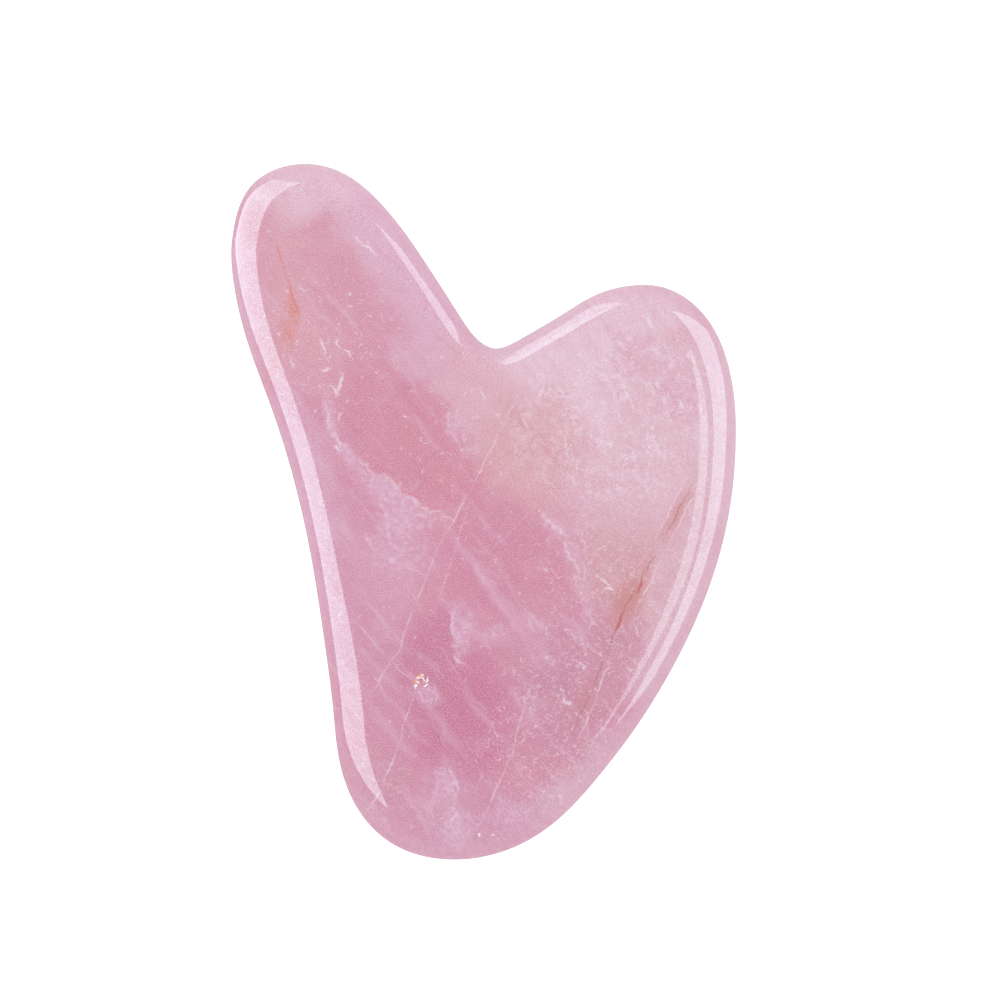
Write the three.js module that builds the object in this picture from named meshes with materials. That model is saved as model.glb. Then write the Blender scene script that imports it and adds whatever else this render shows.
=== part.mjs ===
// Gua sha scraper: one hand-sized plate of polished rose quartz, with a long horn, a heart-shaped
// lobe, a thumb notch between them and a fully rounded edge.
// Millimetres. +X runs from the horn's side to the lobe's side, +Y runs along the horn to its tip,
// and +Z rises out of the upper face. The origin is under the middle of the stone, on its lower face.
import * as THREE from "three";

// Driving dimensions.
const THICKNESS = 6.5; // from flat face to flat face
const EDGE_STEPS = 7; // facets on each half of the rounded edge
const STEPS_PER_STRETCH = 7; // facets along the outline between two landmarks

// A landmark of the outline: its place, the way the outline runs there in degrees from +X, its radius
// of curvature, which is negative where the outline is hollow, and how far the rounded edge reaches in
// from the outline there. The edge is ground narrow along the horn and wide round the toe.
const landmark = (x, y, heading, radius, reach) => ({
  x,
  y,
  heading: heading * THREE.MathUtils.DEG2RAD,
  radius,
  reach,
});

// The outline's landmarks, anticlockwise seen from above.
const LANDMARKS = [
  landmark(-19.1, 39.9, 171.5, 9.8, 4.7), // horn's crown
  landmark(-26.8, 37.4, 229.5, 5.5, 3.6), // horn's outer corner
  landmark(-29.0, 30.5, 266.5, 12.5, 3.4), // horn's shoulder
  landmark(-26.0, 16.2, 290.5, 250, 3.4), // outer flank of the horn
  landmark(-20.7, -1.0, 282.5, -115, 3.4), // waist, slightly hollow
  landmark(-17.3, -22.9, 275.5, -70, 4.6), // end of the hollow
  landmark(-12.5, -36.6, 316.0, 12, 6.4), // toe's near corner
  landmark(-1.9, -39.9, 5.0, 17, 5.9), // toe
  landmark(7.9, -35.9, 38.5, 22.5, 5.4), // toe's far corner
  landmark(15.9, -27.0, 53.0, 60, 4.8), // long scraping edge
  landmark(29.0, 7.8, 88.5, 65, 4.6), // widest point of the lobe
  landmark(26.2, 21.5, 122.5, 12, 4.8), // lobe's shoulder
  landmark(20.4, 25.9, 166.5, 7, 4.4), // lobe's crown
  landmark(14.3, 25.5, 197.0, 12, 3.2), // lobe's brow
  landmark(6.5, 21.2, 210.0, 90, 2.8), // straight slope into the notch
  landmark(1.4, 18.8, 178.0, -1.8, 2.8), // bottom of the notch
  landmark(-2.3, 21.9, 123.5, -50, 3.6), // notch wall on the horn's side
  landmark(-8.3, 31.1, 125.0, 55, 3.8), // inner flank of the horn
  landmark(-13.8, 37.4, 140.5, 15, 4.1), // horn's brow
];

// One stretch of the outline, between two landmarks: the quintic curve that has both ends' place,
// heading and curvature, so the whole outline is smooth in curvature and its reflections are too.
class OutlineStretch extends THREE.Curve {
  constructor(start, end) {
    super();
    const chord = Math.hypot(end.x - start.x, end.y - start.y);
    const turn = Math.atan2(Math.sin(end.heading - start.heading), Math.cos(end.heading - start.heading));
    this.length = chord * (1 + turn ** 2 / 24); // a circular arc's length, to second order
    this.start = this.withDerivatives(start);
    this.end = this.withDerivatives(end);
  }

  withDerivatives({ x, y, heading, radius }) {
    const along = new THREE.Vector2(Math.cos(heading), Math.sin(heading));
    const inward = new THREE.Vector2(-along.y, along.x);
    return {
      place: new THREE.Vector2(x, y),
      speed: along.multiplyScalar(this.length),
      bend: inward.multiplyScalar(this.length ** 2 / radius),
    };
  }

  getPoint(t, target = new THREE.Vector2()) {
    const [t3, t4, t5] = [t ** 3, t ** 4, t ** 5];
    return target
      .set(0, 0)
      .addScaledVector(this.start.place, 1 - 10 * t3 + 15 * t4 - 6 * t5)
      .addScaledVector(this.start.speed, t - 6 * t3 + 8 * t4 - 3 * t5)
      .addScaledVector(this.start.bend, (t ** 2 - 3 * t3 + 3 * t4 - t5) / 2)
      .addScaledVector(this.end.bend, (t3 - 2 * t4 + t5) / 2)
      .addScaledVector(this.end.speed, -4 * t3 + 7 * t4 - 3 * t5)
      .addScaledVector(this.end.place, 10 * t3 - 15 * t4 + 6 * t5);
  }
}

// The stations of the outline: each is a point of it, with the step that leads straight into the
// stone from there to the border of the flat face.
function outlineStations() {
  return LANDMARKS.flatMap((start, i) => {
    const end = LANDMARKS[(i + 1) % LANDMARKS.length];
    const stretch = new OutlineStretch(start, end);
    return Array.from({ length: STEPS_PER_STRETCH }, (_, step) => {
      const t = step / STEPS_PER_STRETCH;
      const along = stretch.getTangent(t);
      const inward = new THREE.Vector2(-along.y, along.x);
      const reach = THREE.MathUtils.lerp(start.reach, end.reach, THREE.MathUtils.smootherstep(t, 0, 1));
      return { point: stretch.getPoint(t), toFace: inward.multiplyScalar(reach) };
    });
  });
}

// The rounded edge in section, from the lower face to the upper one: half an ellipse, given at each
// step as a share of the way in to the flat face, and a height.
function edgeSection() {
  return Array.from({ length: 2 * EDGE_STEPS + 1 }, (_, step) => {
    const angle = (Math.PI / 2) * (step / EDGE_STEPS - 1);
    return {
      inset: 1 - Math.cos(angle),
      height: (THICKNESS / 2) * (1 + Math.sin(angle)),
    };
  });
}

// The stone: the edge's section carried round the outline, closed by the two flat faces.
function stoneGeometry() {
  const stations = outlineStations();
  const section = edgeSection();
  const count = stations.length;
  const positions = section.flatMap(({ inset, height }) =>
    stations.flatMap(({ point, toFace }) => {
      const place = point.clone().addScaledVector(toFace, inset);
      return [place.x, place.y, height];
    }),
  );

  const faces = [];
  for (let ring = 0; ring < section.length - 1; ring++) {
    for (let i = 0; i < count; i++) {
      const [a, b] = [ring * count + i, ring * count + ((i + 1) % count)];
      faces.push(a, b, b + count, a, b + count, a + count);
    }
  }

  const faceBorder = stations.map(({ point, toFace }) => point.clone().add(toFace));
  const top = (section.length - 1) * count;
  for (const [a, b, c] of THREE.ShapeUtils.triangulateShape(faceBorder, [])) {
    faces.push(top + a, top + b, top + c);
    faces.push(a, c, b);
  }

  const geometry = new THREE.BufferGeometry();
  geometry.setAttribute("position", new THREE.Float32BufferAttribute(positions, 3));
  geometry.setIndex(faces);
  geometry.computeVertexNormals();
  return geometry;
}

const roseQuartz = new THREE.MeshStandardMaterial({ color: 0xdca6b8, roughness: 0.1, metalness: 0 });

const stone = new THREE.Mesh(stoneGeometry(), roseQuartz);
stone.name = "stone_body";

const scraper = new THREE.Group();
scraper.add(stone);

export default scraper;
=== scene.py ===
"""A gua sha stone of polished rose quartz, lying on a white table under studio softboxes."""
import math
from functools import reduce

import bpy
import numpy as np
from mathutils import Euler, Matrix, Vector


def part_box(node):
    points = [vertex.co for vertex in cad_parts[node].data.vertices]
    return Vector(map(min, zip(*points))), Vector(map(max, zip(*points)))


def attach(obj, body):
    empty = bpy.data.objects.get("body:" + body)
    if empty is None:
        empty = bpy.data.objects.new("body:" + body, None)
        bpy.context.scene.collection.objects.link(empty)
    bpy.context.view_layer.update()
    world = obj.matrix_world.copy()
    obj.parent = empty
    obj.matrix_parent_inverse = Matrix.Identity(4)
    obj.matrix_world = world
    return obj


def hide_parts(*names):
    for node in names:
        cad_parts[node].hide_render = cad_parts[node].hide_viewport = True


MM = 0.001

# ---------------------------------------------------------------- the frame

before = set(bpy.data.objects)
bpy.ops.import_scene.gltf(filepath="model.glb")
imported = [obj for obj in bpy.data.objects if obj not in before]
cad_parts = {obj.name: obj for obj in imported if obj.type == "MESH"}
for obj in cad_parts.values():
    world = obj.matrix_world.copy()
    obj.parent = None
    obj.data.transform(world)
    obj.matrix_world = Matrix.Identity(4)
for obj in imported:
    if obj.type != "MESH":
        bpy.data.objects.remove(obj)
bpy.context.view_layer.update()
LOW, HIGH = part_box("stone_body")
HALF_THICKNESS = (HIGH.z - LOW.z) / 2
MIDDLE = (HIGH.z + LOW.z) / 2
HUB = np.array([-1.6, 4.8]) * MM  # a point inside, from which the whole outline is in sight
MAX_SHIFT = 3  # how many stations apart two rings may start, when each is sorted round the hub


def cad_ring(height):
    """The CAD stone's corners at one height, anticlockwise seen from above."""
    corners = np.array([v.co[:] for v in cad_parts["stone_body"].data.vertices])
    level = np.abs(corners[:, 2] - height) < 0.001 * MM
    ring = np.unique(corners[level, :2].round(7), axis=0)
    from_hub = ring - HUB
    return ring[np.argsort(np.arctan2(from_hub[:, 1], from_hub[:, 0]))]


def paired_rings():
    """The outline at mid-height and the flat face's border, station by station."""
    outline, border = cad_ring(MIDDLE), cad_ring(HIGH.z)
    shifts = range(-MAX_SHIFT, MAX_SHIFT + 1)
    apart = [np.linalg.norm(outline - np.roll(border, shift, 0), axis=1).sum() for shift in shifts]
    return outline, np.roll(border, shifts[int(np.argmin(apart))], 0)


# ---------------------------------------------------------------- the stone's shape

STATIONS = 720  # round the outline
EDGE_STEPS = 26  # on each half of the rounded edge
FACE_STEPS = 18  # from the border of a flat face to its middle
POLISH = 0.03 * MM  # how far the polished surface stays inside the CAD outline


def closed_spline(points, stretches, count):
    """count points on the closed cubic spline through points, which are stretches apart."""
    n = len(points)
    before, after = np.roll(stretches, 1), stretches
    following = np.roll(np.arange(n), -1)
    system = np.diag(2 * (before + after))
    system[np.arange(n), following] += after
    system[following, np.arange(n)] += after
    slope = (points[following] - points) / after[:, None]
    bend = np.linalg.solve(system, 6 * (slope - np.roll(slope, 1, 0)))
    knots = np.concatenate([[0], np.cumsum(stretches)])
    at = np.linspace(0, knots[-1], count, endpoint=False)
    i = np.searchsorted(knots, at, side="right") - 1
    j = following[i]
    h, a, b = (v[:, None] for v in (stretches[i], knots[i + 1] - at, at - knots[i]))
    return (
        (bend[i] * a**3 + bend[j] * b**3) / (6 * h)
        + (points[i] / h - bend[i] * h / 6) * a
        + (points[j] / h - bend[j] * h / 6) * b
    )


def stone_rings():
    """Rings of points, from the lower face's middle round the edge to the upper face's middle."""
    outline, border = paired_rings()
    stretches = np.linalg.norm(np.roll(outline, -1, 0) - outline, axis=1)
    outline = closed_spline(outline, stretches, STATIONS)
    border = closed_spline(border, stretches, STATIONS)
    inward = (border - outline) / np.linalg.norm(border - outline, axis=1)[:, None]
    outline = outline + inward * POLISH

    def ring(flat, height):
        return np.column_stack([flat, np.full(STATIONS, height)])

    def face(height):
        shares = 1 - np.arange(1, FACE_STEPS) / FACE_STEPS
        return [ring(HUB + (border - HUB) * share, height) for share in shares]

    edge = []
    for angle in np.linspace(-math.pi / 2, math.pi / 2, 2 * EDGE_STEPS + 1):
        flat = outline + (border - outline) * (1 - math.cos(angle))
        edge.append(ring(flat, MIDDLE + HALF_THICKNESS * math.sin(angle)))
    return face(LOW.z)[::-1] + edge + face(HIGH.z)


def make_stone():
    rings = stone_rings()
    corners = np.vstack(rings + [[[*HUB, LOW.z], [*HUB, HIGH.z]]])
    faces = []
    for first in range(0, (len(rings) - 1) * STATIONS, STATIONS):
        for i in range(STATIONS):
            a, b = first + i, first + (i + 1) % STATIONS
            faces.append((a, b, b + STATIONS, a + STATIONS))
    low_hub, high_hub = len(corners) - 2, len(corners) - 1
    last = (len(rings) - 1) * STATIONS
    for i in range(STATIONS):
        j = (i + 1) % STATIONS
        faces.append((low_hub, j, i))
        faces.append((high_hub, last + i, last + j))
    mesh = bpy.data.meshes.new("rose_quartz_stone")
    mesh.from_pydata(corners.tolist(), [], faces)
    mesh.update()
    mesh.polygons.foreach_set("use_smooth", [True] * len(faces))
    rim = mesh.attributes.new("rim", "FLOAT", "POINT")
    heights = corners[:, 2] - MIDDLE
    rim.data.foreach_set("value", 1 - np.abs(heights) / HALF_THICKNESS)
    stone = bpy.data.objects.new("rose_quartz_stone", mesh)
    bpy.context.scene.collection.objects.link(stone)
    return stone


# ---------------------------------------------------------------- nodes by arithmetic

class Wire:
    """The output of a shader node. Arithmetic on wires adds Math nodes."""

    def __init__(self, graph, socket):
        self.graph = graph
        self.socket = socket

    def __add__(self, other):
        return self.graph.math("ADD", self, other)

    def __sub__(self, other):
        return self.graph.math("SUBTRACT", self, other)

    def __rsub__(self, other):
        return self.graph.math("SUBTRACT", other, self)

    def __mul__(self, other):
        return self.graph.math("MULTIPLY", self, other)


class Graph:
    """A material's node tree. Each method adds nodes to it and returns the last one's output."""

    def __init__(self, tree):
        self.tree = tree

    def feed(self, socket, value):
        if isinstance(value, Wire):
            self.tree.links.new(value.socket, socket)
        else:
            socket.default_value = value

    def outputs(self, kind, inputs, **settings):
        node = self.tree.nodes.new("ShaderNode" + kind)
        for name, value in settings.items():
            setattr(node, name, value)
        for name, value in inputs.items():
            self.feed(node.inputs[name], value)
        return [Wire(self, socket) for socket in node.outputs]

    def node(self, kind, inputs, **settings):
        return self.outputs(kind, inputs, **settings)[0]

    def math(self, operation, *values):
        return self.node("Math", dict(enumerate(values)), operation=operation)

    def vector_math(self, operation, *values):
        return self.node("VectorMath", dict(enumerate(values)), operation=operation)

    def axes(self, vector):
        return self.outputs("SeparateXYZ", {0: vector})

    def join(self, x, y, z):
        return self.node("CombineXYZ", {"X": x, "Y": y, "Z": z})

    def strongest(self, values):
        return reduce(lambda a, b: self.math("MAXIMUM", a, b), values)

    def ramp(self, value, start, end):
        """0 at start and 1 at end, with soft ends."""
        inputs = {"Value": value, "From Min": start, "From Max": end}
        return self.node("MapRange", inputs, interpolation_type="SMOOTHSTEP")

    def mix(self, colour, tint, share):
        inputs = {0: share, 6: colour, 7: tint}  # 6 and 7 are the node's two colour sockets
        _, _, mixed, *_ = self.outputs("Mix", inputs, data_type="RGBA")
        return mixed

    def noise(self, place, per_mm, detail, roughness=0.5, distortion=0.0):
        inputs = {
            "Vector": place,
            "Scale": per_mm,
            "Detail": detail,
            "Roughness": roughness,
            "Distortion": distortion,
        }
        return self.node("TexNoise", inputs)

    def stirred(self, place, per_mm, reach, detail=2.0):
        """The place moved about in the plane of the stone, by up to half of reach each way."""
        inputs = {"Vector": place, "Scale": per_mm, "Detail": detail}
        _, push = self.outputs("TexNoise", inputs)
        push = self.vector_math("SUBTRACT", push, (0.5, 0.5, 0.5))
        return self.vector_math("MULTIPLY_ADD", push, (reach, reach, 0), place)

    def cloud(self, place, x, y, half_width, half_height, turn=0.0):
        """1 at the middle of an ellipse in the plane of the stone, falling evenly to 0 at its rim."""
        inputs = {
            "Vector": place,
            "Location": (x, y, 0),
            "Rotation": (0, 0, math.radians(turn)),
            "Scale": (half_width, half_height, 1),
        }
        local = self.node("Mapping", inputs, vector_type="TEXTURE")
        _, nearness = self.outputs("TexGradient", {"Vector": local}, gradient_type="SPHERICAL")
        return nearness

    def beside(self, place, x, y, heading):
        """How far the place is to the left of the straight line that runs through x, y at heading."""
        east, north, _ = self.axes(place)
        angle = math.radians(heading)
        return (north - y) * math.cos(angle) - (east - x) * math.sin(angle)

    def thread(self, place, half_width, *points):
        """1 along a line through the points, falling evenly to 0 at half_width to each side."""
        strokes = []
        for (x0, y0), (x1, y1) in zip(points, points[1:]):
            half_length = 0.75 * math.hypot(x1 - x0, y1 - y0)  # so that strokes overlap
            turn = math.degrees(math.atan2(y1 - y0, x1 - x0))
            strokes.append(self.cloud(place, (x0 + x1) / 2, (y0 + y1) / 2, half_length, half_width, turn))
        return self.strongest(strokes)


# ---------------------------------------------------------------- rose quartz
# Places in the stone are in millimetres, in the plane of its faces, with turns in degrees.

SHEEN = 0.046  # what the polished face mirrors of the white studio, on top of its own colour
GAMMA = 2.2  # of the picture


def seen(red, green, blue):
    """The stone's own colour where the studio shows it as this one of 8 bits a channel."""
    return tuple((level / 255) ** GAMMA - SHEEN for level in (red, green, blue)) + (1,)


LILAC = seen(227, 185, 206)
MILK = seen(236, 206, 219)
SHELL = seen(228, 191, 203)
BLUSH = seen(224, 171, 185)
PEACH = seen(223, 175, 181)
ROSE = seen(216, 149, 171)
DEEP_ROSE = seen(205, 125, 156)
DUSK = seen(205, 151, 167)
SAND = seen(216, 169, 176)
VEIL = seen(227, 188, 213)
ICE = seen(243, 222, 235)
ORANGE = seen(224, 140, 118)
RED = seen(200, 85, 75)
BROWN = seen(165, 105, 100)
RUST = seen(208, 140, 134)
# painted glints: the colours of light caught on the flaw's facets
PAINTED_GLINT = seen(252, 245, 248)
PAINTED_GOLDEN_GLINT = seen(245, 185, 130)

# The stone's broad clouds of colour: tint, share, softness of the border, middle, half width, half
# height and turn.
CLOUDS = (
    (SHELL, 1.0, 0.7, 20, 12, 22, 25, 0),  # the lobe
    (MILK, 0.9, 0.7, 9, 18.5, 13, 7, 25),  # along the slope into the notch
    (MILK, 0.8, 0.6, 9, 21.5, 13, 4, 27),
    (BLUSH, 0.9, 0.7, -20, 25, 12, 17, 20),  # the horn
    (LILAC, 1.0, 0.6, -11, 34, 11, 7, -40),
    (MILK, 0.9, 0.7, -20, 38.5, 11, 6.5, 10),
    (LILAC, 0.9, 0.6, -6, 25, 16, 6.5, -57),  # along the horn's inner flank
    (seen(219, 157, 177), 0.8, 0.6, -15, 23, 12, 5, -62),
    (LILAC, 0.7, 0.6, -29, 24, 4.5, 13, 8),  # the horn's outer flank
    (seen(223, 175, 198), 0.9, 0.7, -18, -3, 5, 26, 14),  # the waist
    (LILAC, 0.7, 0.7, -7, 16.5, 5, 6, 20),
    (MILK, 0.5, 0.7, 2, 16.5, 6, 3.5, 0),
    (seen(228, 184, 198), 0.9, 0.5, -1.5, 14, 5, 9, 15),  # below the notch
    (PEACH, 0.9, 0.7, 5, 7, 9, 10, 15),
    (SAND, 0.9, 0.6, 17, -7, 8, 8, 0),
    (DUSK, 0.8, 0.6, 13, -18, 6, 11, -25),
    (seen(213, 150, 174), 0.8, 0.7, -12, -16, 7, 22, 12),
    (seen(209, 147, 169), 0.8, 0.7, 8, -20, 11, 13, 0),
    (DEEP_ROSE, 0.9, 0.6, -3, -23, 8, 13, 8),
    (seen(214, 144, 168), 0.95, 0.45, 2, -6, 9, 8, -20),
    (seen(216, 146, 166), 0.95, 0.4, -8, 8, 14, 6, -57),
    (seen(205, 130, 160), 0.8, 0.5, -6, -16, 3.2, 8, -15),
    (seen(219, 164, 186), 0.8, 0.6, -11.5, -8, 5, 7, 20),
    (seen(216, 157, 177), 0.6, 0.6, 5, -12, 5, 4, 0),
    (seen(210, 155, 179), 0.9, 0.7, 0, -37, 18, 8, 5),  # the toe
    (seen(211, 157, 176), 0.8, 0.7, -13, -33, 6, 8, 0),
    (seen(224, 180, 205), 0.5, 0.6, 3.3, -34.7, 4.5, 3, 15),
    (MILK, 0.6, 0.7, 12.5, 11.8, 5.5, 4, -45),
    (MILK, 0.9, 0.7, 18, 23.5, 9, 4.5, -10),
    (seen(226, 177, 194), 0.8, 0.5, 17.5, 17.8, 4, 3, -40),
    (seen(226, 179, 196), 0.8, 0.5, 22, 13, 3.5, 5, 20),
    (seen(229, 197, 210), 0.9, 0.6, 30, 6, 6, 18, 0),  # the lobe's edge
    (seen(219, 182, 197), 0.9, 0.6, 24, -14, 6, 17, -25),  # the long scraping edge
    (seen(227, 191, 202), 0.8, 0.6, 22.5, -7, 4.5, 11, -22),
    (seen(216, 175, 190), 0.9, 0.6, 12, -31, 10, 5.5, 42),
    (seen(224, 183, 195), 0.6, 0.6, 16, -1, 4.5, 4.5, 0),
    (seen(203, 143, 165), 0.6, 0.6, 9, -21, 4.5, 7, -25),
)


def clouded(g, place):
    """The stone's tints run into one another, with wavy borders."""
    place = g.stirred(g.stirred(place, 0.13, 6, detail=3), 0.45, 3.0, detail=8)
    colour = ROSE
    for tint, share, softness, x, y, half_width, half_height, turn in CLOUDS:
        cloud = g.cloud(place, x, y, half_width, half_height, turn)
        colour = g.mix(colour, tint, g.ramp(cloud, 0.0, softness) * share)
    return colour


def mottled(g, colour, place):
    """Milky swirls, deeper between them, down to a fine grain."""
    swirls = g.noise(place, 0.25, 10, 0.72, 0.8)
    colour = g.mix(colour, DEEP_ROSE, g.ramp(swirls, 0.52, 0.2) * 0.3)
    colour = g.mix(colour, MILK, g.ramp(swirls, 0.48, 0.85) * 0.5)
    grain = g.noise(place, 8, 1)
    colour = g.mix(colour, ICE, g.ramp(grain, 0.45, 0.75) * 0.45)
    return g.mix(colour, DEEP_ROSE, g.ramp(grain, 0.55, 0.25) * 0.5)


def streaked(g, colour, place):
    """Faint streaks run slantwise down the stone, from the horn's side to the lobe's."""
    x, y, _ = g.axes(g.stirred(place, 0.25, 2.5, detail=3))
    streaks = g.noise(g.join(x * 0.06 - y * 0.08, x * 0.77 + y * 0.64, 0), 0.8, 5, 0.6)
    colour = g.mix(colour, LILAC, g.ramp(streaks, 0.52, 0.7) * 0.5)
    return g.mix(colour, DEEP_ROSE, g.ramp(streaks, 0.48, 0.28) * 0.15)


def curls(g, place, per_mm):
    """Short hair-like curls: the contour lines of a noise, broken up by another."""
    height = g.noise(place, per_mm, 2, 0.6, 1.0)
    kept = g.ramp(g.noise(place, per_mm * 1.3, 4, 0.7), 0.5, 0.62)
    return g.ramp(g.math("ABSOLUTE", height - 0.5), 0.05, 0.0) * kept


def crazed(g, place, per_mm):
    """A web of thin cracks between cells about 1 / per_mm across, in broken lengths."""
    stirred = g.stirred(place, 0.6, 2.2, detail=5)
    inputs = {"Vector": stirred, "Scale": per_mm}
    settings = {"voronoi_dimensions": "2D", "feature": "DISTANCE_TO_EDGE"}
    gap = g.node("TexVoronoi", inputs, **settings)
    kept = g.ramp(g.noise(place, 0.5, 5, 0.7), 0.47, 0.6)
    return g.ramp(gap, 0.09 * per_mm, 0.0) * kept


def with_fibres(g, colour, place, deep_place):
    """The lobe is clouded with fine white fibres, curls and cracks."""
    lobe = g.ramp(g.cloud(place, 15, 11, 16, 14, 35), 0.0, 0.6)
    x, y, z = g.axes(g.stirred(deep_place, 0.5, 3.0, detail=4))
    fibres = g.noise(g.join(x * 1.6 + y * 0.9, y * 0.9 - x * 0.4, z), 1.1, 9, 0.8, 0.6)
    drift = g.ramp(g.noise(place, 0.35, 4, 0.6), 0.38, 0.6)
    colour = g.mix(colour, ICE, g.ramp(fibres, 0.45, 0.62) * lobe * (drift * 0.65 + 0.2))
    flank = g.strongest([
        lobe * 0.8,
        g.ramp(g.cloud(place, 17, -6, 12, 20, -20), 0.0, 0.4),
        g.ramp(g.cloud(place, 7, -27, 10, 12, -30), 0.0, 0.4) * 0.8,
        0.2,
    ])
    lines = g.strongest([crazed(g, place, 0.22), crazed(g, place, 0.5) * 0.6, curls(g, place, 1.4)])
    return g.mix(colour, ICE, lines * flank * 0.65)


def with_veils(g, colour, place):
    """Ragged lilac-white sheets of tiny bubbles, with torn borders, and long faint streaks."""
    stirred = g.stirred(place, 0.4, 2.4, detail=6)
    torn = g.stirred(stirred, 1.4, 1.3, detail=6)
    below = g.ramp(g.beside(torn, -9.2, 2.4, -32), 0.2, -0.2)
    east = g.ramp(g.beside(torn, -3.5, -14, -88), -0.2, 0.2)
    sheets = g.strongest([
        g.thread(stirred, 1.3, (-18.1, 13.2), (-17, 8.3), (-13.8, 4.3)),
        g.cloud(stirred, -10, 2.0, 8.0, 3.4, -32) * below,
        g.cloud(stirred, -9.8, -1.2, 4.0, 4.0) * below * 0.9,
        g.cloud(stirred, -9.5, -4.5, 7.0, 5.5, -25) * 0.6,
        g.thread(stirred, 2.0, (-4.0, 12.4), (-2.6, 7.7), (-1.0, 6.3)) * 0.6,
        g.cloud(stirred, -2.9, -13.5, 3.2, 4.8, 5) * east,
        g.cloud(stirred, -4.6, -30.6, 2.2, 3.4, -15),
        g.cloud(stirred, -4.4, -31.4, 4.5, 6.5, -15) * 0.5,
        g.cloud(stirred, -3.1, -36.2, 2.8, 3.2),
        g.thread(stirred, 1.4, (6.4, 0.3), (9.5, -2.6), (11, -7.1), (12, -14)) * 0.6,
        g.cloud(stirred, 1.2, -14.4, 3.0, 2.0, 20) * 0.7,
        g.cloud(stirred, 5.4, -12.8, 3.0, 1.6, -20) * 0.6,
        g.cloud(stirred, -6.5, -21.1, 2.6, 1.8, -20),
    ])
    streaks = g.strongest([
        g.thread(stirred, 1.0, (-13.4, -22.2), (-7.4, -28.8), (-3.3, -34.8)),
        g.thread(stirred, 0.9, (-7.4, -20.8), (-1.8, -28)),
        g.thread(stirred, 0.9, (-4.9, -1.3), (5.1, -13.7), (8.8, -18)),
        g.thread(stirred, 0.8, (-2.4, -4.4), (7.5, -18)) * 0.8,
        g.thread(stirred, 0.8, (-15, -14.5), (-8, -22.5)) * 0.8,
        g.thread(stirred, 0.8, (-6.5, -7.4), (0, -16)) * 0.8,
    ])
    speckled = g.noise(place, 1.6, 7, 0.8, 0.4)
    glow = g.ramp(sheets, 0.0, 0.9) * (g.ramp(speckled, 0.36, 0.62) * 0.65 + 0.35)
    colour = g.mix(colour, VEIL, g.strongest([glow * 0.85, g.ramp(streaks, 0.0, 1.0) * 0.38]))
    inner = g.ramp(sheets, 0.1, 0.5)
    bubbles = g.ramp(speckled, 0.52, 0.62) * 0.5
    colour = g.mix(colour, ICE, g.strongest([curls(g, place, 1.2), bubbles]) * inner * 0.55)
    borders = g.strongest([
        g.thread(torn, 0.3, (-18.3, 12.4), (-17.3, 9.2), (-15.2, 6.6), (-9.2, 2.4), (-3.8, -1.0)),
        g.thread(torn, 0.25, (-13.7, -2.4), (-12.4, -4.6), (-9.4, -5.7), (-6.5, -7.4)) * 0.8,
        g.thread(torn, 0.3, (-4.4, 12.2), (-3.5, 9.4), (-2.6, 7.2)) * 0.6,
        g.thread(torn, 0.35, (-3.6, -11), (-3.5, -15.9), (-2.1, -17.5)),
        g.thread(torn, 0.35, (-3.6, -29), (-3.2, -32), (-3.6, -36)) * 0.8,
        g.thread(torn, 0.3, (6.4, 0.3), (9.3, -2.6), (9.9, -5.1), (10.6, -7.1)),
        g.thread(torn, 0.3, (10.2, -13.4), (11.4, -16.4)) * 0.8,
    ])
    return g.mix(colour, ICE, g.ramp(borders, 0.0, 0.8) * 0.5 * g.ramp(speckled, 0.35, 0.55))


def with_healed_cracks(g, colour, place):
    """Thin pale lines where old cracks have grown together again."""
    wavy = g.stirred(g.stirred(place, 0.3, 1.0), 1.6, 0.22, detail=4)
    cracks = g.strongest([
        g.thread(wavy, 0.17, (3.8, 13.1), (1.8, 9.2), (-1.4, 2.6), (-5, -3.5)),
        g.thread(wavy, 0.17, (-5, -3.5), (-7.9, -11), (-9.9, -16.1), (-13.2, -21.5)),
        g.thread(wavy, 0.14, (-2, 0.5), (-3.3, -4.5), (-5, -10)) * 0.8,
        g.thread(wavy, 0.16, (-14.7, -12.3), (-10.9, -16.7), (-8.3, -19.2)),
        g.thread(wavy, 0.16, (-7.9, -20.8), (-9.6, -26.2), (-11.6, -31.7), (-12.8, -35.2)),
        g.thread(wavy, 0.16, (5.4, -19.1), (3.4, -27.1), (-0.4, -36.1)),
        g.thread(wavy, 0.12, (6.6, 1), (-1, -6)) * 0.5,
        g.thread(wavy, 0.12, (2, 4), (8, 12)) * 0.5,
    ])
    broken = g.ramp(g.noise(place, 0.7, 5, 0.75), 0.4, 0.62)
    return g.mix(colour, ICE, g.ramp(cracks, 0.0, 0.8) * (broken * 0.4 + 0.15))


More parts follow.
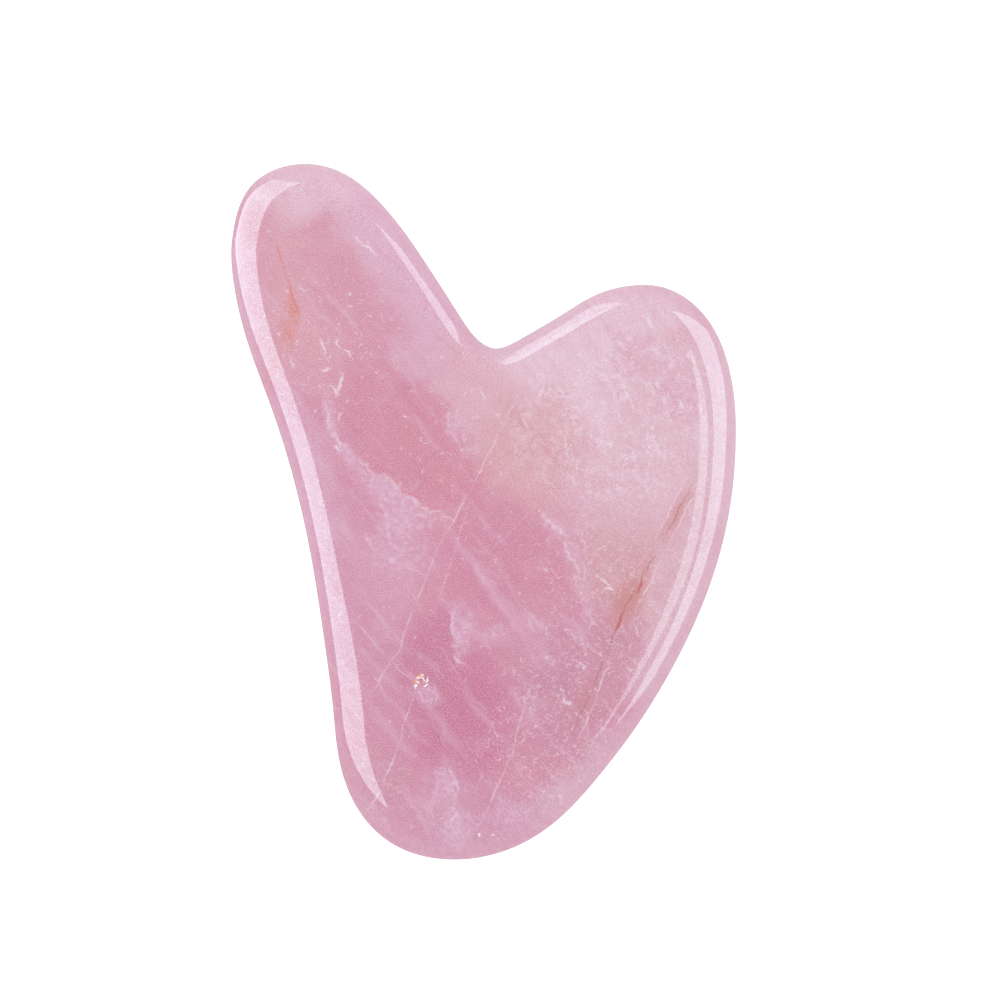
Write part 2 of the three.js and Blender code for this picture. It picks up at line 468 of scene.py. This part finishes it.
def with_stains(g, colour, place):
    """Iron has seeped along two cracks: orange in the horn, brown and red in the lobe."""
    wavy = g.stirred(place, 0.8, 0.9, detail=5)
    torn = g.stirred(wavy, 1.4, 1.3, detail=6)
    blotches = g.noise(place, 1.5, 8, 0.8)
    horn_crack = g.thread(wavy, 0.16, (-23.8, 30.8), (-22.6, 27.3), (-21.2, 22.6))
    colour = g.mix(colour, ORANGE, g.ramp(horn_crack, 0.0, 0.7) * 0.6)
    horn = g.strongest([
        g.cloud(torn, -21.8, 22.9, 1.3, 2.8, 10),
        g.cloud(torn, -22.4, 20.6, 2.2, 3.2, 10) * 0.7,
        g.thread(torn, 0.8, (-23.3, 18.6), (-24.3, 14.6)) * 0.5,
    ])
    grains = g.ramp(g.noise(place, 2.6, 6, 0.8), 0.42, 0.6)
    orange = g.ramp(horn + blotches * 0.6, 0.42, 0.95) * (grains * 0.6 + 0.25)
    colour = g.mix(colour, ORANGE, orange * 0.85)
    haze = g.strongest([
        g.cloud(wavy, 16.6, -10, 2.6, 5.5, -28),
        g.cloud(wavy, 11.6, -21, 2.0, 6.5, -25) * 0.5,
        g.thread(wavy, 1.8, (24.2, 3.9), (20.1, -4.1), (15, -13.4)) * 0.7,
    ])
    haze = g.ramp(haze + blotches * 0.8, 0.45, 1.3) * g.ramp(haze, 0, 0.4)
    colour = g.mix(colour, RUST, haze * 0.6)
    crack = g.strongest([
        g.thread(wavy, 0.2, (24.2, 3.9), (20.1, -4.1), (17.8, -8), (15.4, -12.6)),
        g.thread(wavy, 0.24, (15.4, -12.6), (13.9, -16.4), (12.4, -20.6), (10, -25.5)),
    ])
    colour = g.mix(colour, BROWN, g.ramp(crack, 0.1, 1) * g.ramp(blotches, 0.32, 0.52) * 0.45)
    fringe = g.strongest([
        g.thread(wavy, 0.2, (24.9, 3.5), (20.8, -4.4), (17.2, -11.6)),
        g.thread(wavy, 0.2, (23.4, 4.4), (19.4, -3.6)),
        g.thread(wavy, 0.2, (14.7, -16), (12.6, -22), (10.8, -26)),
    ])
    colour = g.mix(colour, ICE, g.ramp(fringe, 0.1, 1) * g.ramp(blotches, 0.38, 0.55) * 0.7)
    red = g.strongest([
        g.thread(wavy, 0.26, (18.1, -7.2), (17.5, -9.8)),
        g.thread(wavy, 0.32, (15.9, -11.4), (14.9, -13.8)),
    ])
    return g.mix(colour, RED, g.ramp(red, 0.1, 0.9) * 0.65)


def with_painted_glints(g, colour, place):
    """An open flaw whose bright facets carry painted glints, some of them golden, and a few loose painted
    sparks.
    """
    inputs = {"Vector": g.stirred(place, 1.8, 1.0, detail=4), "Scale": 3.4}
    _, facets, *_ = g.outputs("TexVoronoi", inputs, voronoi_dimensions="2D")
    bright, golden, _ = g.axes(facets)
    flaw = g.strongest([
        g.cloud(place, -7.1, -19.4, 1.3, 1.0, 50),
        g.cloud(place, -0.3, -37.2, 0.5, 0.4),
        g.cloud(place, 1.5, -37.1, 0.4, 0.5),
    ])
    # painted glints: the brightest facets inside the flaw are lit up in the base colour
    lit = g.math("GREATER_THAN", bright + flaw * 0.5, 0.85) * g.ramp(flaw, 0.1, 0.3)
    spark = g.mix(PAINTED_GLINT, PAINTED_GOLDEN_GLINT, g.math("GREATER_THAN", golden, 0.72))
    return g.mix(colour, spark, lit * 0.9)


def flakes(g, place, per_mm, length, width, crowding):
    """Small bent flakes seen edge on, one or none to a cell, each with its own turn and bend."""
    inputs = {"Vector": place, "Scale": per_mm}
    _, lots, middle, *_ = g.outputs("TexVoronoi", inputs, voronoi_dimensions="2D")
    turn, bend, lot = g.axes(lots)
    away = g.vector_math("SUBTRACT", place, middle)
    inputs = {"Vector": away, "Angle": turn * math.tau}
    x, y, _ = g.axes(g.node("VectorRotate", inputs, rotation_type="Z_AXIS"))
    off_line = g.math("ABSOLUTE", x - y * y * bend * (2 / length))
    off_end = g.math("ABSOLUTE", y)
    flake = g.ramp(off_line, width, width / 4) * g.ramp(off_end, length / 2, length / 5)
    return flake * g.ramp(crowding - lot, 0.0, 0.3)


def with_flakes(g, colour, place):
    """Tiny cleavage flakes glint in the stone, thickest in the lobe and toward the toe."""
    stirred = g.stirred(place, 1.8, 0.9, detail=4)
    crowding = g.strongest([
        g.cloud(place, 9, -23, 9, 14, -25),
        g.cloud(place, 14, -8, 8, 6) * 0.7,
        g.cloud(place, -17, 19, 9, 12, 20) * 0.7,
        g.cloud(place, 18, 14, 12, 12) * 0.8,
        g.cloud(place, -2, 8, 12, 10) * 0.4,
    ])
    shards = g.strongest([
        g.thread(stirred, 0.22, (-18.6, 19.6), (-18, 18)),
        g.thread(stirred, 0.25, (-18.6, 16.1), (-17.5, 16.5)),
        g.thread(stirred, 0.28, (-16, 15.8), (-16.8, 13.4)),
        g.thread(stirred, 0.22, (-16.9, 7.6), (-16.5, 6.9)),
        g.thread(stirred, 0.22, (-14.8, 31.4), (-13.9, 30.7), (-12.2, 29.5)),
        g.thread(stirred, 0.3, (18.6, 22.3), (19.4, 21)),
        g.thread(stirred, 0.3, (22.2, 13), (22.9, 11.6)) * 0.8,
        g.thread(stirred, 0.2, (-0.4, 14.2), (0.2, 12.6)) * 0.7,
        g.thread(stirred, 0.22, (13.2, -7.4), (14.6, -8.6)) * 0.8,
    ])
    found = g.strongest([
        g.ramp(shards, 0.0, 0.7),
        flakes(g, stirred, 0.3, 1.5, 0.2, crowding * 0.5 + 0.1),
        flakes(g, stirred, 0.7, 0.7, 0.1, crowding * 0.5 + 0.25) * 0.8,
        flakes(g, stirred, 1.4, 0.4, 0.08, crowding * 0.6 + 0.2) * 0.6,
    ])
    return g.mix(colour, ICE, found * 0.8), found


def with_painted_rim_sheen(g, colour):
    """The rounded edge is painted a little paler and more lilac than the faces, as a painted sheen."""
    _, _, rim, *_ = g.outputs("Attribute", {}, attribute_name="rim")
    # painted sheen: lilac is mixed in toward the middle of the rounded edge
    return g.mix(colour, LILAC, g.ramp(rim, 0.0, 0.5) * 0.3)


LEAN_EAST = 0.45  # how far the layers in the stone lean, for each millimetre up
LEAN_SOUTH = 0.3


def places(g):
    """The place in the leaning layers, flattened, and the same place with its height."""
    _, _, _, in_metres, *_ = g.outputs("TexCoord", {})
    x, y, z = (axis * (1 / MM) for axis in g.axes(in_metres))
    depth = HIGH.z / MM - z
    x = x + depth * LEAN_EAST
    y = y - depth * LEAN_SOUTH
    return g.join(x, y, 0), g.join(x, y, z)


def rose_quartz():
    material = bpy.data.materials.new("rose_quartz")
    material.use_nodes = True
    shader = material.node_tree.nodes["Principled BSDF"]
    g = Graph(material.node_tree)

    place, deep_place = places(g)
    colour = clouded(g, place)
    colour = mottled(g, colour, deep_place)
    colour = streaked(g, colour, place)
    colour = with_fibres(g, colour, place, deep_place)
    colour = with_veils(g, colour, place)
    colour = with_stains(g, colour, place)
    colour = with_healed_cracks(g, colour, place)
    colour = with_painted_glints(g, colour, place)
    colour, found = with_flakes(g, colour, place)
    colour = with_painted_rim_sheen(g, colour)
    g.feed(shader.inputs["Base Color"], colour)

    pits = g.noise(deep_place, 1.8, 6, 0.75)
    roughness = g.ramp(pits, 0.55, 0.85) * 0.06 + found * 0.08 + 0.025
    g.feed(shader.inputs["Roughness"], roughness)
    bump = g.node("Bump", {"Strength": 0.01, "Distance": 0.02 * MM, "Height": pits})
    g.feed(shader.inputs["Normal"], bump)

    shader.inputs["IOR"].default_value = 1.54
    shader.inputs["Subsurface Weight"].default_value = 0.3
    shader.inputs["Subsurface Radius"].default_value = (1, 0.5, 0.65)
    shader.inputs["Subsurface Scale"].default_value = 1.5 * MM
    return material


# ---------------------------------------------------------------- the studio

TABLE_WIDTH = 6  # metres
TABLE_GAP = 0.05 * MM  # under the stone, so that the two surfaces never meet
SOFTBOX_COLOUR = (0.7, 1, 1.05)  # cool, so that its reflections on the warm stone look nearly white


def white_table():
    material = bpy.data.materials.new("white_table")
    material.use_nodes = True
    shader = material.node_tree.nodes["Principled BSDF"]
    shader.inputs["Base Color"].default_value = (0.88, 0.88, 0.88, 1)
    shader.inputs["Roughness"].default_value = 0.9
    shader.inputs["Specular IOR Level"].default_value = 0
    shader.inputs["Emission Color"].default_value = (1, 1, 1, 1)
    shader.inputs["Emission Strength"].default_value = 0.5
    return material


def make_floor():
    bpy.ops.mesh.primitive_plane_add(size=TABLE_WIDTH, location=(0, 0, LOW.z - TABLE_GAP))
    floor = bpy.context.object
    floor.name = "floor"
    floor.data.materials.append(white_table())
    floor.visible_glossy = False  # the stone's rim mirrors a dim studio, not the bright table


def softbox(name, place_mm, tilt_deg, size_mm, radiance):
    """A rectangular softbox that shines along its own -Z."""
    width, height = (side * MM for side in size_mm)
    light = bpy.data.lights.new(name, "AREA")
    light.shape = "RECTANGLE"
    light.size = width
    light.size_y = height
    light.energy = radiance * width * height * math.pi
    light.color = SOFTBOX_COLOUR
    box = bpy.data.objects.new(name, light)
    box.location = Vector(place_mm) * MM
    box.rotation_euler = Euler([math.radians(t) for t in tilt_deg])
    box.visible_camera = False
    box.visible_diffuse = False  # the walls light the stone, and the softboxes only shine in its polish
    bpy.context.scene.collection.objects.link(box)


def hang_softboxes():
    """The left softbox is in three steps of brightness, side by side."""
    left_tilt = (50.4, 24, -97.2)
    softbox("left_softbox", (-283, 122, 43), left_tilt, (316, 618), 5.3)
    softbox("left_softbox_dimmer", (-256, 337, 140), left_tilt, (158, 618), 4.0)
    softbox("left_softbox_dimmest", (-227, 570, 245), left_tilt, (356, 618), 2.6)
    softbox("right_softbox", (347, -82, 213), (60.7, 22.7, 118.7), (652, 237), 3.8)
    softbox("overhead_softbox", (326, -76, 762), (9.3, 28.8, -139), (277, 432), 3)


def light_walls():
    """White walls all round, dimmest below."""
    world = bpy.data.worlds.new("studio_walls")
    world.use_nodes = True
    walls = world.node_tree.nodes["Background"]
    walls.inputs["Color"].default_value = (1, 1, 1, 1)
    g = Graph(world.node_tree)
    _, _, up = g.axes(g.node("TexCoord", {}))
    g.feed(walls.inputs["Strength"], g.ramp(up, -0.1, 0.4) * 0.5 + 0.52)
    bpy.context.scene.world = world


VIEW_WIDTH = 114.86 * MM  # at the stone's mid-height
VIEW_CENTRE = (1.88 * MM, 1.37 * MM)


def make_camera():
    """Straight above the stone, which lies a little left of and below the middle of the view."""
    lens = bpy.data.cameras.new("camera")
    lens.lens = 200
    lens.sensor_width = 36
    camera = bpy.data.objects.new("camera", lens)
    distance = VIEW_WIDTH * lens.lens / lens.sensor_width
    camera.location = (*VIEW_CENTRE, MIDDLE + distance)
    bpy.context.scene.collection.objects.link(camera)
    bpy.context.scene.camera = camera
    bpy.context.scene.view_settings.view_transform = "Standard"


stone = make_stone()
stone.data.materials.append(rose_quartz())
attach(stone, "root")
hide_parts("stone_body")
make_floor()
hang_softboxes()
light_walls()
make_camera()
